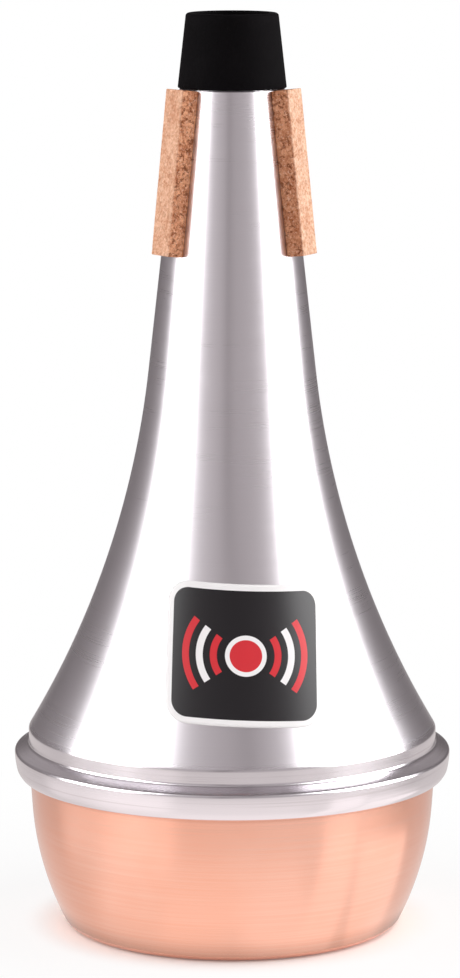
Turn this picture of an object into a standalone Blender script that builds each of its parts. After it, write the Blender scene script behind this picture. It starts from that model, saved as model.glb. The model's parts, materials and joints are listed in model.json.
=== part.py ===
"""Trombone straight mute: a hollow spun cone whose wide end is closed by a shallow spun cup.

The cone's lower edge and the cup's upper edge are folded round each other in a double seam, which shows
from outside as a bead under a short collar. A soft sleeve covers the open small end, cork strips hold the
mute in a bell, and a sticker lies on the front of the cone. Metres, +Z up, the axis on the Z axis, the cup
standing on z = 0, the front facing -Y.
"""

import math

import bmesh
import bpy
from mathutils import Matrix, Vector

# Heights, each measured on from the one before, from the standing face upwards
CUP_DEPTH = 0.0439  # standing face to the underside of the bead
BEAD_HEIGHT = 0.0096  # underside of the bead to the foot of the collar
COLLAR_HEIGHT = 0.0046
CONE_LENGTH = 0.1854  # top of the collar to the foot of the sleeve
SLEEVE_LENGTH = 0.0215

# Cone, spun from aluminium sheet
CONE_SHEET = 0.0010
MOUTH_RADIUS = 0.0593  # outside of the collar, and of the cup's wall where it enters the seam
NECK_RADIUS = 0.0150  # outside of the cone at the foot of the sleeve
TAPER_ANGLE = math.radians(6.42)
TAPER_LENGTH = 0.0809  # height of the straight taper, from the sleeve down to the start of the flare
SHOULDER_BEND = 0.0018
COLLAR_BEND = 0.0007
JOGGLE_DEPTH = 0.0009  # step that lets the sleeve stand on the cone

# Cup, spun from copper sheet
CUP_SHEET = 0.0008
CUP_FOOT_RADIUS = 0.0482  # where the wall's curve would meet the standing face
CUP_CORNER_BEND = 0.0041
CUP_WALL_TAPER = math.radians(3.9)
CUP_CURVE_HEIGHT = 0.0350  # height at which the wall's curve ends and its straight taper begins

# Double seam between the cone and the cup
SEAM_GAP = 0.0003
BEAD_DRAFT = 0.0006  # how much the bead's face widens from its foot to its top
BEAD_TOP_BEND = 0.0022
BEAD_FOOT_BEND = 0.0015
TUCK_BEND = 0.0013
TUCK_HEIGHT = 0.0050  # height of the tucked edge above the underside of the bead
HOOK_BEND = 0.0005
HOOK_DROP = 0.0055  # top of the cup's flange to the lower edge of its hook

# Sleeve on the small end
SLEEVE_WALL = 0.0012
SLEEVE_LIP = 0.0018  # thickness of the lip over the cone's cut edge
SLEEVE_EDGE = 0.0010
SLEEVE_MOUTH_EDGE = 0.0005
FIT_GAP = 0.0003

# Cork strips
CORK_LENGTH = 0.0468
CORK_WIDTH = 0.0082
CORK_THICKNESS = 0.0048
CORK_AZIMUTHS = {"left": -54.5, "right": 61.5, "back": 183.5}  # degrees from the front, towards +X

# Sticker on the front of the cone
STICKER_WIDTH = 0.0460
STICKER_HEIGHT = 0.0410
STICKER_CORNER = 0.0065
STICKER_THICKNESS = 0.00025
STICKER_GAP = 0.0002
STICKER_RISE = 0.0294  # height of its centre above the top of the collar
STICKER_AZIMUTH = math.radians(5.0)
STICKER_TILT = math.radians(-3.0)

# Fineness of the round shapes
TURN_STEPS = 60
SLEEVE_STEPS = 36
FLARE_STEPS = 9
CUP_CURVE_STEPS = 6
BEND_STEP = math.radians(31.0)
CORK_ACROSS = 4
CORK_ALONG = 2
STICKER_CORNER_STEPS = 4
STICKER_ROWS = 6
STICKER_COLUMNS = 10
SHARP_ANGLE = math.radians(40.0)

# Levels that follow from the heights
bead_level = CUP_DEPTH
collar_foot = bead_level + BEAD_HEIGHT
collar_top = collar_foot + COLLAR_HEIGHT
sleeve_foot = collar_top + CONE_LENGTH
top_level = sleeve_foot + SLEEVE_LENGTH

# Radii of the seam, stacked outwards from the cup's wall
tuck_inside = MOUTH_RADIUS + SEAM_GAP
hook_inside = tuck_inside + CONE_SHEET + SEAM_GAP
bead_foot_radius = hook_inside + CUP_SHEET + SEAM_GAP + CONE_SHEET
bead_radius = bead_foot_radius + BEAD_DRAFT


def arc_from_tangent(start, angle, end, steps):
    """Points of the arc that leaves start at angle from the downward vertical and ends at end.

    The chord makes half of the arc's turn with the first tangent, which gives the radius. A point at
    the share s of the turn lies at the chord of that share from start. Start itself is left out.
    """
    chord = end - start
    half_turn = math.atan2(chord.x, -chord.y) - angle
    if abs(half_turn) < 1e-6:
        return [start.lerp(end, i / steps) for i in range(1, steps + 1)]
    radius = chord.length / (2 * math.sin(half_turn))
    points = []
    for i in range(1, steps + 1):
        share = half_turn * i / steps
        reach = 2 * radius * math.sin(share)
        heading = angle + share
        points.append(start + reach * Vector((math.sin(heading), -math.cos(heading))))
    return points


def bent(corners):
    """The line through (point, bend radius) corners, each corner rounded by an arc of its radius."""
    line = [corners[0][0]]
    for (before, _), (corner, radius), (after, _) in zip(corners, corners[1:], corners[2:]):
        back = (before - corner).normalized()
        ahead = (after - corner).normalized()
        turn = math.pi - back.angle(ahead)
        if radius == 0 or turn < 1e-4:
            line.append(corner)
            continue
        centre = corner + (back + ahead).normalized() * radius / math.cos(turn / 2)
        first = corner + back * radius * math.tan(turn / 2) - centre
        side = 1 if first.cross(corner - centre) > 0 else -1
        steps = max(2, math.ceil(turn / BEND_STEP))
        line += [centre + Matrix.Rotation(side * turn * i / steps, 2) @ first for i in range(steps + 1)]
    return line + [corners[-1][0]]


def parallel(line, distance):
    """The line moved sideways by distance, to the left of its direction, with mitred corners."""
    ways = [(b - a).normalized() for a, b in zip(line, line[1:])]
    moved = []
    for point, before, after in zip(line, ways[:1] + ways, ways + ways[-1:]):
        side = Vector((-before.y - after.y, before.x + after.x))
        moved.append(point + side * 2 * distance / side.length_squared)
    return moved


def sheet(line, thickness):
    """Section of a sheet whose one face follows line and whose other face lies to its left."""
    return line + parallel(line, thickness)[::-1]


# The cone's outer face, as a line down from the foot of the sleeve: a straight taper, then one arc
taper_end = Vector((NECK_RADIUS + TAPER_LENGTH * math.tan(TAPER_ANGLE), sleeve_foot - TAPER_LENGTH))
taper_run = TAPER_LENGTH / math.cos(TAPER_ANGLE)
flare_chord = Vector((MOUTH_RADIUS, collar_top)) - taper_end
flare_turn = 2 * (math.atan2(flare_chord.x, -flare_chord.y) - TAPER_ANGLE)
flare_radius = flare_chord.length / (2 * math.sin(flare_turn / 2))


def cone_point(run):
    """The point of the cone's outer face at run along it from the foot of the sleeve, and its slope."""
    if run <= taper_run:
        way = Vector((math.sin(TAPER_ANGLE), -math.cos(TAPER_ANGLE)))
        return taper_end + way * (run - taper_run), TAPER_ANGLE
    slope = TAPER_ANGLE + (run - taper_run) / flare_radius
    across = math.cos(TAPER_ANGLE) - math.cos(slope)
    down = math.sin(slope) - math.sin(TAPER_ANGLE)
    return taper_end + flare_radius * Vector((across, -down)), slope


def run_at(level):
    """How far along the cone's outer face a level lies: cone_point turned round."""
    if level >= taper_end.y:
        return (sleeve_foot - level) / math.cos(TAPER_ANGLE)
    slope = math.asin(math.sin(TAPER_ANGLE) + (taper_end.y - level) / flare_radius)
    return taper_run + flare_radius * (slope - TAPER_ANGLE)


def off_cone(run, distance):
    """The point at distance out from the cone's outer face, square to it."""
    point, slope = cone_point(run)
    return point + distance * Vector((math.cos(slope), math.sin(slope)))


def finish(name, colour, roughness, metallic):
    """A Principled material of one colour."""
    material = bpy.data.materials.new(name)
    material.use_nodes = True
    shader = material.node_tree.nodes["Principled BSDF"]
    shader.inputs["Base Color"].default_value = (*colour, 1.0)
    shader.inputs["Roughness"].default_value = roughness
    shader.inputs["Metallic"].default_value = metallic
    material.diffuse_color = (*colour, 1.0)
    return material


def mesh_of(name, shape, material):
    """A mesh with its faces out, smooth but for its edges, that carries the material."""
    bmesh.ops.remove_doubles(shape, verts=shape.verts, dist=1e-6)
    bmesh.ops.recalc_face_normals(shape, faces=shape.faces)
    mesh = bpy.data.meshes.new(name)
    shape.to_mesh(mesh)
    shape.free()
    mesh.shade_smooth()
    mesh.set_sharp_from_angle(angle=SHARP_ANGLE)
    mesh.materials.append(material)
    return mesh


def place(name, mesh, azimuth=0.0):
    """An object of the mesh, turned about the axis by azimuth from the front towards +X."""
    piece = bpy.data.objects.new(name, mesh)
    piece.rotation_euler.z = azimuth
    piece.parent = bpy.data.objects["mute_axis"]
    bpy.context.scene.collection.objects.link(piece)
    return piece


def turned(name, section, closed, steps, material):
    """A mesh turned round the Z axis from a section of (radius, height) points."""
    shape = bmesh.new()
    corners = [shape.verts.new((point.x, 0, point.y)) for point in section]
    pairs = zip(corners, corners[1:] + corners[:1]) if closed else zip(corners, corners[1:])
    edges = [shape.edges.new(pair) for pair in pairs]
    bmesh.ops.spin(
        shape,
        geom=corners + edges,
        cent=(0, 0, 0),
        axis=(0, 0, 1),
        angle=math.tau,
        steps=steps,
        use_merge=True,
    )
    return mesh_of(name, shape, material)


def spigot_line():
    """The end of the cone inside the sleeve, from its cut edge down to the ledge under the sleeve."""
    foot = Vector((NECK_RADIUS - JOGGLE_DEPTH, sleeve_foot))
    height = SLEEVE_LENGTH - SLEEVE_LIP - FIT_GAP
    return [foot + Vector((-height * math.tan(TAPER_ANGLE), height)), foot]


def cone_section():
    """Spigot, ledge, taper, flare, collar, flange, bead and tucked edge, as one folded sheet."""
    flare = arc_from_tangent(taper_end, TAPER_ANGLE, Vector((MOUTH_RADIUS, collar_top)), FLARE_STEPS)
    corners = [(point, 0) for point in [*spigot_line(), Vector((NECK_RADIUS, sleeve_foot)), taper_end]]
    corners += [(point, 0) for point in flare[:-1]]
    corners += [
        (flare[-1], SHOULDER_BEND),
        (Vector((MOUTH_RADIUS, collar_foot)), COLLAR_BEND),
        (Vector((bead_radius, collar_foot)), BEAD_TOP_BEND),
        (Vector((bead_foot_radius, bead_level)), BEAD_FOOT_BEND),
        (Vector((tuck_inside, bead_level)), TUCK_BEND),
        (Vector((tuck_inside, bead_level + TUCK_HEIGHT)), 0),
    ]
    return sheet(bent(corners), -CONE_SHEET)


def cup_section():
    """Standing face, curved wall, straight wall, flange and hook, as one folded sheet."""
    flange_under = collar_foot - CONE_SHEET - SEAM_GAP - CUP_SHEET
    seam_entry = CUP_DEPTH + TUCK_HEIGHT
    wall_top = Vector((MOUTH_RADIUS, seam_entry))
    drop = seam_entry - CUP_CURVE_HEIGHT
    curve_top = wall_top - Vector((drop * math.tan(CUP_WALL_TAPER), drop))
    foot = Vector((CUP_FOOT_RADIUS, 0))
    curve = arc_from_tangent(curve_top, -CUP_WALL_TAPER, foot, CUP_CURVE_STEPS)
    corners = [(Vector((0, 0)), 0), (foot, CUP_CORNER_BEND)]
    corners += [(point, 0) for point in curve[-2::-1]]
    corners += [
        (curve_top, 0),
        (wall_top, 0),
        (Vector((MOUTH_RADIUS, flange_under)), HOOK_BEND),
        (Vector((hook_inside, flange_under)), HOOK_BEND),
        (Vector((hook_inside, flange_under + CUP_SHEET - HOOK_DROP)), 0),
    ]
    return sheet(bent(corners), CUP_SHEET)


def sleeve_section():
    """A tapered wall round the spigot with a lip over its cut edge, level with the cone's bore."""
    tip, foot = spigot_line()
    clear = FIT_GAP / math.cos(TAPER_ANGLE)
    outer_foot = foot.x + clear + SLEEVE_WALL
    bore = tip.x - CONE_SHEET / math.cos(TAPER_ANGLE)
    lip_under = top_level - SLEEVE_LIP
    start = Vector((outer_foot, sleeve_foot + FIT_GAP))
    corners = [
        (start, 0),
        (Vector((outer_foot - SLEEVE_LENGTH * math.tan(TAPER_ANGLE), top_level)), SLEEVE_EDGE),
        (Vector((bore, top_level)), SLEEVE_MOUTH_EDGE),
        (Vector((bore, lip_under)), 0),
        (Vector((tip.x + clear, lip_under)), 0),
        (Vector((foot.x + clear, start.y)), 0),
        (start, 0),
    ]
    return bent(corners)[:-1]


def cork_strip(material):
    """A square-cut strip with a flat outer face, hollowed at the back to the cone's curve, facing -Y."""
    shape = bmesh.new()
    half = CORK_WIDTH / 2
    across = [half * (2 * i / CORK_ACROSS - 1) for i in range(CORK_ACROSS + 1)]
    rings = []
    for i in range(CORK_ALONG + 1):
        run = FIT_GAP + CORK_LENGTH * i / CORK_ALONG
        radius = cone_point(run)[0].x
        drops = [(x, math.sqrt(radius**2 - x**2) - radius) for x in across]
        back = [(x, off_cone(run, FIT_GAP + drop)) for x, drop in drops]
        front = off_cone(run, FIT_GAP + CORK_THICKNESS)
        ring = back + [(half, front), (-half, front)]
        rings.append([shape.verts.new((x, -point.x, point.y)) for x, point in ring])
    for upper, lower in zip(rings, rings[1:]):
        for i in range(len(upper)):
            j = (i + 1) % len(upper)
            shape.faces.new((upper[i], upper[j], lower[j], lower[i]))
    shape.faces.new(rings[0])
    shape.faces.new(rings[-1][::-1])
    return mesh_of("cork_strip", shape, material)


def sticker_rows():
    """(height, half width) of the sticker's rows from top to bottom: a rectangle with round corners."""
    rows = []
    for i in range(STICKER_CORNER_STEPS + 1):
        turn = math.pi / 2 * i / STICKER_CORNER_STEPS
        inset = STICKER_CORNER * (1 - math.cos(turn))
        width = STICKER_WIDTH / 2 - STICKER_CORNER * (1 - math.sin(turn))
        rows.append((STICKER_HEIGHT / 2 - inset, width))
    straight = STICKER_HEIGHT - 2 * STICKER_CORNER
    middle = [straight * (0.5 - i / STICKER_ROWS) for i in range(1, STICKER_ROWS)]
    return rows + [(y, STICKER_WIDTH / 2) for y in middle] + [(-y, width) for y, width in rows[::-1]]


def sticker_mesh(material):
    """Two like grids, laid on the cone one thickness apart and joined round their rim, facing -Y."""
    shape = bmesh.new()
    centre = run_at(collar_top + STICKER_RISE)
    layers = []
    for lift in (STICKER_GAP, STICKER_GAP + STICKER_THICKNESS):
        grid = []
        for y, width in sticker_rows():
            row = []
            for i in range(STICKER_COLUMNS + 1):
                x = width * (2 * i / STICKER_COLUMNS - 1)
                along = x * math.cos(STICKER_TILT) - y * math.sin(STICKER_TILT)
                up = x * math.sin(STICKER_TILT) + y * math.cos(STICKER_TILT)
                point = off_cone(centre - up, lift)
                turn = along / point.x
                row.append(shape.verts.new((point.x * math.sin(turn), -point.x * math.cos(turn), point.y)))
            grid.append(row)
        layers.append(grid)
    for grid in layers:
        for upper, lower in zip(grid, grid[1:]):
            for i in range(STICKER_COLUMNS):
                shape.faces.new((upper[i], upper[i + 1], lower[i + 1], lower[i]))
    rims = [edge for edge in shape.edges if edge.is_boundary]
    bmesh.ops.bridge_loops(shape, edges=rims)
    return mesh_of("sticker", shape, material)


def clear_scene():
    """Removes what the scene holds at the start."""
    for piece in list(bpy.context.scene.objects):
        bpy.data.objects.remove(piece)


def build():
    """Makes every piece of the mute under one empty on its axis."""
    clear_scene()
    bpy.context.scene.collection.objects.link(bpy.data.objects.new("mute_axis", None))
    aluminium = finish("spun_aluminium", (0.74, 0.73, 0.74), 0.28, 1.0)
    copper = finish("spun_copper", (0.93, 0.60, 0.47), 0.28, 1.0)
    black = finish("black_sleeve", (0.012, 0.010, 0.012), 0.85, 0.0)
    cork = finish("cork", (0.56, 0.30, 0.14), 0.9, 0.0)
    vinyl = finish("sticker", (0.55, 0.03, 0.04), 0.35, 0.0)

    place("cone_shell", turned("cone_shell", cone_section(), True, TURN_STEPS, aluminium))
    place("base_cup", turned("base_cup", cup_section(), False, TURN_STEPS, copper))
    place("end_sleeve", turned("end_sleeve", sleeve_section(), True, SLEEVE_STEPS, black))
    strip = cork_strip(cork)
    for side, azimuth in CORK_AZIMUTHS.items():
        place(f"cork_strip_{side}", strip, math.radians(azimuth))
    place("sticker", sticker_mesh(vinyl), STICKER_AZIMUTH)


build()
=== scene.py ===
"""Looks of the trombone straight mute: spun shells, cork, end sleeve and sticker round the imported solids.

Lengths are in metres in the row frame: the axis on Z, the standing face on z = 0, the front facing -Y.
"""

from __future__ import annotations

import json
import logging
import math
from collections.abc import Mapping, Sequence
from dataclasses import dataclass, field
from enum import Enum
from typing import Any

import bpy
import numpy as np
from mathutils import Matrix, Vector
from numpy.typing import NDArray

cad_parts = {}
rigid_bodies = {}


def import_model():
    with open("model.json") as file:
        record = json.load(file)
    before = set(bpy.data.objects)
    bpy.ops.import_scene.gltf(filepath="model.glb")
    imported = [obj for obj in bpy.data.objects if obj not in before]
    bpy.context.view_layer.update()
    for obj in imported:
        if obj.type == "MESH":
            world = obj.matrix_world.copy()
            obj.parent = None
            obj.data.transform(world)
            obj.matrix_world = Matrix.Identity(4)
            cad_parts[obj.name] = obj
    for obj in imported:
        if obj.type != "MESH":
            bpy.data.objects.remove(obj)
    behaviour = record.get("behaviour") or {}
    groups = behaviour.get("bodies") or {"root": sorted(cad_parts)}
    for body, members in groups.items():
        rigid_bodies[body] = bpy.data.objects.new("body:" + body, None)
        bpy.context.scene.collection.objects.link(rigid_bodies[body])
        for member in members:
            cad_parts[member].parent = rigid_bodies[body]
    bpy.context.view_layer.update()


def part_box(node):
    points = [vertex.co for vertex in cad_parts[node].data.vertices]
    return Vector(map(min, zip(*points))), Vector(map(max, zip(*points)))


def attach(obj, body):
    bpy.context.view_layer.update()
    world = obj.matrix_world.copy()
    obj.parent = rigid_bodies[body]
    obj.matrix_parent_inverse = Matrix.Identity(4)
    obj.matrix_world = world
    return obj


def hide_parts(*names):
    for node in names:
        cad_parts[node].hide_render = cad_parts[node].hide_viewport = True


Array = NDArray[np.float64]
Colour = tuple[float, float, float]
Span = tuple[float, float]
Line = tuple[float, float, float]

LOG = logging.getLogger("mute")
MM = 0.001
BODY = "root"
WHITE = (1.0, 1.0, 1.0)

# How far the lead points stand outside a bend: a share of its radius, but no more than a length.
LEAD_SHARE = 0.1
LONGEST_LEAD = 0.15 * MM


# Shader graphs


class Wire:
    """An output socket that takes part in arithmetic: each operation adds its Math node."""

    def __init__(self, graph: Graph, socket: bpy.types.NodeSocket) -> None:
        """Wraps one output socket.

        Args:
            graph: The graph that the socket's node belongs to.
            socket: The output socket.
        """
        self.graph = graph
        self.socket = socket

    def _with(self, operation: str, first: Any, second: Any) -> Wire:
        """The Math node of an operation on two wires or numbers."""
        return self.graph.node("ShaderNodeMath", {"operation": operation}, {0: first, 1: second})

    def __add__(self, other: Wire | float) -> Wire:
        """Sum."""
        return self._with("ADD", self, other)

    __radd__ = __add__

    def __sub__(self, other: Wire | float) -> Wire:
        """Difference."""
        return self._with("SUBTRACT", self, other)

    def __rsub__(self, other: float) -> Wire:
        """A number less this wire."""
        return self._with("SUBTRACT", other, self)

    def __mul__(self, other: Wire | float) -> Wire:
        """Product."""
        return self._with("MULTIPLY", self, other)

    __rmul__ = __mul__

    def __truediv__(self, other: Wire | float) -> Wire:
        """Quotient."""
        return self._with("DIVIDE", self, other)

    def __pow__(self, other: float) -> Wire:
        """Power."""
        return self._with("POWER", self, other)

    def __abs__(self) -> Wire:
        """Absolute value."""
        return self._with("ABSOLUTE", self, 0.0)

    def at_least(self, other: Wire | float) -> Wire:
        """The larger of the two."""
        return self._with("MAXIMUM", self, other)

    def rise(self, low: float, high: float) -> Wire:
        """A smooth step from 0 at low to 1 at high, or from 1 to 0 where low is above high.

        Args:
            low: Where the step leaves 0.
            high: Where it reaches 1.

        Returns:
            The step, clamped between 0 and 1.
        """
        start, end = sorted((low, high))
        ends = (0.0, 1.0) if low < high else (1.0, 0.0)
        return self.graph.node(
            "ShaderNodeMapRange",
            {"interpolation_type": "SMOOTHSTEP"},
            {"Value": self, "From Min": start, "From Max": end, "To Min": ends[0], "To Max": ends[1]},
        )


class Graph:
    """A node tree being written: nodes are added by kind, settings and inputs."""

    def __init__(self, tree: bpy.types.NodeTree) -> None:
        """Empties the tree and takes it over.

        Args:
            tree: The node tree of a material or a world.
        """
        tree.nodes.clear()
        self.tree = tree

    def node(
        self,
        kind: str,
        settings: Mapping[str, Any] | None = None,
        inputs: Mapping[str | int, Any] | None = None,
        out: str | int = 0,
    ) -> Wire:
        """Adds a node, sets it up and joins its inputs.

        Args:
            kind: The node's type name.
            settings: Its properties.
            inputs: A wire or a value for each socket named, by name or by number.
            out: The output that is returned.

        Returns:
            The output's wire, or the first input's where the node has no output.
        """
        made = self.tree.nodes.new(kind)
        for name, value in (settings or {}).items():
            setattr(made, name, value)
        for name, value in (inputs or {}).items():
            socket = made.inputs[name]
            if isinstance(value, Wire):
                self.tree.links.new(value.socket, socket)
            elif isinstance(value, tuple) and len(value) == 3 and len(socket.default_value) == 4:
                socket.default_value = (*value, 1.0)
            else:
                socket.default_value = value
        return Wire(self, made.outputs[out] if made.outputs else made.inputs[0])

    def mix(self, factor: Wire | float, first: Wire | Colour, second: Wire | Colour) -> Wire:
        """Blends two colours.

        Args:
            factor: The share of the second colour.
            first: The colour at 0.
            second: The colour at 1.

        Returns:
            The blend.
        """
        colours = {0: factor, 6: first, 7: second}
        return self.node("ShaderNodeMix", {"data_type": "RGBA"}, colours, out=2)

    def split(self, vector: Wire) -> tuple[Wire, Wire, Wire]:
        """The three parts of a vector."""
        outputs = self.node("ShaderNodeSeparateXYZ", None, {"Vector": vector}).socket.node.outputs
        return Wire(self, outputs[0]), Wire(self, outputs[1]), Wire(self, outputs[2])

    def join(self, x: Wire | float, y: Wire | float, z: Wire | float) -> Wire:
        """A vector of three parts."""
        return self.node("ShaderNodeCombineXYZ", None, {0: x, 1: y, 2: z})

    def noise(self, vector: Wire, scale: float, detail: float = 2.0, roughness: float = 0.5) -> Wire:
        """Noise of about 0 to 1.

        Args:
            vector: Where it is read.
            scale: Features for each unit of the vector.
            detail: Octaves of finer noise.
            roughness: How strongly each octave counts.

        Returns:
            The noise value.
        """
        inputs = {"Vector": vector, "Scale": scale, "Detail": detail, "Roughness": roughness}
        return self.node("ShaderNodeTexNoise", None, inputs)

    def place(self) -> Wire:
        """The point in the object's own coordinates."""
        return self.node("ShaderNodeTexCoord", out="Object")

    def spot(self) -> tuple[Wire, Wire, Wire]:
        """The point's x and y, and its distance from the axis."""
        x, y, _ = self.split(self.place())
        return x, y, (x * x + y * y) ** 0.5

    def level(self) -> Wire:
        """The point's height."""
        return self.split(self.place())[2]

    def laid(self) -> Wire:
        """The point on the piece's own UV map."""
        return self.node("ShaderNodeTexCoord", out="UV")

    def lines(self, spacing: float, spread: float, detail: float = 3.0) -> Wire:
        """Noise drawn out round the axis, as a tool leaves it on a turned piece.

        The noise is read at the direction from the axis, scaled to spread, and at the distance along
        the section, counted in spacings.

        Args:
            spacing: The width of one line, along the section.
            spread: How often a line changes on its way round.
            detail: Octaves of finer noise.

        Returns:
            The noise value.
        """
        x, y, _ = self.split(self.place())
        away = self.node("ShaderNodeVectorMath", {"operation": "NORMALIZE"}, {0: self.join(x, y, 0.0)})
        way_x, way_y, _ = self.split(away)
        _, along, _ = self.split(self.laid())
        where = self.join(way_x * spread, way_y * spread, along / spacing)
        return self.noise(where, 1.0, detail, 0.6)

    def bump(self, height: Wire, depth: float, strength: float = 1.0, under: Wire | None = None) -> Wire:
        """A Bump node.

        Args:
            height: The height from 0 to 1.
            depth: What a height of 1 stands for.
            strength: The share of the bump that is used.
            under: Another bump that this one lies on.

        Returns:
            The bent normal.
        """
        inputs: dict[str | int, Any] = {"Height": height, "Distance": depth, "Strength": strength}
        if under is not None:
            inputs["Normal"] = under
        return self.node("ShaderNodeBump", None, inputs)

    def surface(self, shader: Wire) -> None:
        """Joins a shader to the material's output."""
        self.node("ShaderNodeOutputMaterial", None, {"Surface": shader})

    def principled(self, inputs: Mapping[str | int, Any]) -> None:
        """Joins a Principled shader with these inputs to the material's output."""
        self.surface(self.node("ShaderNodeBsdfPrincipled", None, inputs))


def new_material(name: str) -> tuple[bpy.types.Material, Graph]:
    """Makes a node material with nothing in its tree.

    Args:
        name: The material's name.

    Returns:
        The material and its graph.
    """
    material = bpy.data.materials.new(name)
    material.use_nodes = True
    return material, Graph(material.node_tree)


# Finishes


@dataclass(frozen=True)
class BrushedAluminium:
    """Satin aluminium with fine lines round the axis, which spread a highlight along the section.

    Below rolled_from the sheet was rolled and not brushed: it is smoother there and has dull marks.
    """

    rolled_from: float
    base: Colour = (0.79, 0.755, 0.79)
    worn: Colour = (0.85, 0.815, 0.85)
    dull: Colour = (0.56, 0.50, 0.51)
    roughness: float = 0.285
    rolled_roughness: float = 0.21
    rolled_fade: float = 3.0 * MM
    unevenness: float = 0.02
    line_width: float = 0.16 * MM
    line_depth: float = 0.0005 * MM
    band_width: float = 3.0 * MM
    band_depth: float = 0.003 * MM
    mark_width: float = 0.6 * MM
    cloud_scale: float = 28.0
    scratch_scale: float = 95.0
    anisotropy: float = 0.3

    def material(self) -> bpy.types.Material:
        """Writes the node tree.

        Returns:
            The material.
        """
        material, graph = new_material("brushed_aluminium")
        fine = graph.lines(self.line_width, 0.9)
        broad = graph.lines(self.band_width, 0.7, 1.0)
        cloud = graph.noise(graph.place(), self.cloud_scale, 3.0)
        scratch = graph.noise(graph.place(), self.scratch_scale, 2.0).rise(0.66, 0.78)
        rolled = graph.level().rise(self.rolled_from, self.rolled_from - self.rolled_fade)
        marks = graph.lines(self.mark_width, 0.8, 2.0).rise(0.5, 0.75) * rolled * 0.3
        colour = graph.mix(fine.rise(0.3, 0.75) * 0.3, self.base, self.worn)
        uneven = (fine.rise(0.3, 0.8) + broad + cloud + scratch - 1.5) * self.unevenness
        smoother = rolled * (self.rolled_roughness - self.roughness)
        graph.principled({
            "Base Color": graph.mix(marks, colour, self.dull),
            "Metallic": 1.0,
            "Roughness": uneven + smoother + self.roughness,
            "Anisotropic": self.anisotropy,
            "Anisotropic Rotation": 0.25,
            "Normal": graph.bump(fine, self.line_depth, 1.0, graph.bump(broad, self.band_depth)),
        })
        return material


@dataclass(frozen=True)
class SpunCopper:
    """Pink satin copper under a thin lacquer: turning lines, pale clouds, darker streaks towards the seam
    and painted shade just under it.
    """

    seam: float
    base: Colour = (0.92, 0.472, 0.340)
    pale: Colour = (0.94, 0.550, 0.430)
    # The colour of the painted shade under the bead, and of the darker streaks near it.
    painted_shade_and_streaks: Colour = (0.52, 0.20, 0.115)
    roughness: float = 0.21
    line_width: float = 0.5 * MM
    line_depth: float = 0.002 * MM
    wave_width: float = 5.0 * MM
    wave_depth: float = 0.03 * MM
    cloud_scale: float = 24.0
    shaded_drop: float = 1.4 * MM
    streaked_drop: float = 14.0 * MM
    anisotropy: float = 0.4
    lacquer: float = 0.12
    lacquer_roughness: float = 0.08

    def material(self) -> bpy.types.Material:
        """Writes the node tree.

        Returns:
            The material.
        """
        material, graph = new_material("spun_copper")
        fine = graph.lines(self.line_width, 0.9)
        broad = graph.lines(self.wave_width, 0.6, 1.0)
        cloud = graph.noise(graph.place(), self.cloud_scale, 3.0)
        tint = fine.rise(0.35, 0.7) * 0.45 + cloud.rise(0.4, 0.65) * 0.5
        colour = graph.mix(tint, self.base, self.pale)
        level = graph.level()
        # Painted shade: a darker band just under the bead, where the bead shades the copper. The streaks
        # along the turning lines darken towards the seam.
        under = level.rise(self.seam - self.shaded_drop, self.seam) * 0.35
        streak = level.rise(self.seam - self.streaked_drop, self.seam) * fine.rise(0.45, 0.62) * 0.1
        graph.principled({
            "Base Color": graph.mix(under + streak, colour, self.painted_shade_and_streaks),
            "Metallic": 1.0,
            "Roughness": fine * 0.08 + cloud * 0.06 + (self.roughness - 0.06),
            "Anisotropic": self.anisotropy,
            "Anisotropic Rotation": 0.25,
            "Coat Weight": self.lacquer,
            "Coat Roughness": self.lacquer_roughness,
            "Normal": graph.bump(fine, self.line_depth, 1.0, graph.bump(broad, self.wave_depth)),
        })
        return material


@dataclass(frozen=True)
class SleeveRubber:
    """Matt black soft rubber with a fine skin."""

    base: Colour = (0.0019, 0.0014, 0.0019)
    dusty: Colour = (0.0042, 0.0034, 0.0041)
    shine: float = 0.05
    grain_scale: float = 2600.0
    grain_depth: float = 0.06 * MM
    cloud_scale: float = 120.0

    def material(self) -> bpy.types.Material:
        """Writes the node tree.

        Returns:
            The material.
        """
        material, graph = new_material("sleeve_rubber")
        grain = graph.noise(graph.place(), self.grain_scale, 4.0, 0.7)
        cloud = graph.noise(graph.place(), self.cloud_scale, 3.0)
        graph.principled({
            "Base Color": graph.mix(cloud.rise(0.4, 0.8) * 0.6, self.base, self.dusty),
            "Roughness": grain * 0.15 + 0.72,
            "Specular IOR Level": self.shine,
            "Normal": graph.bump(grain, self.grain_depth, 0.8),
        })
        return material


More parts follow.
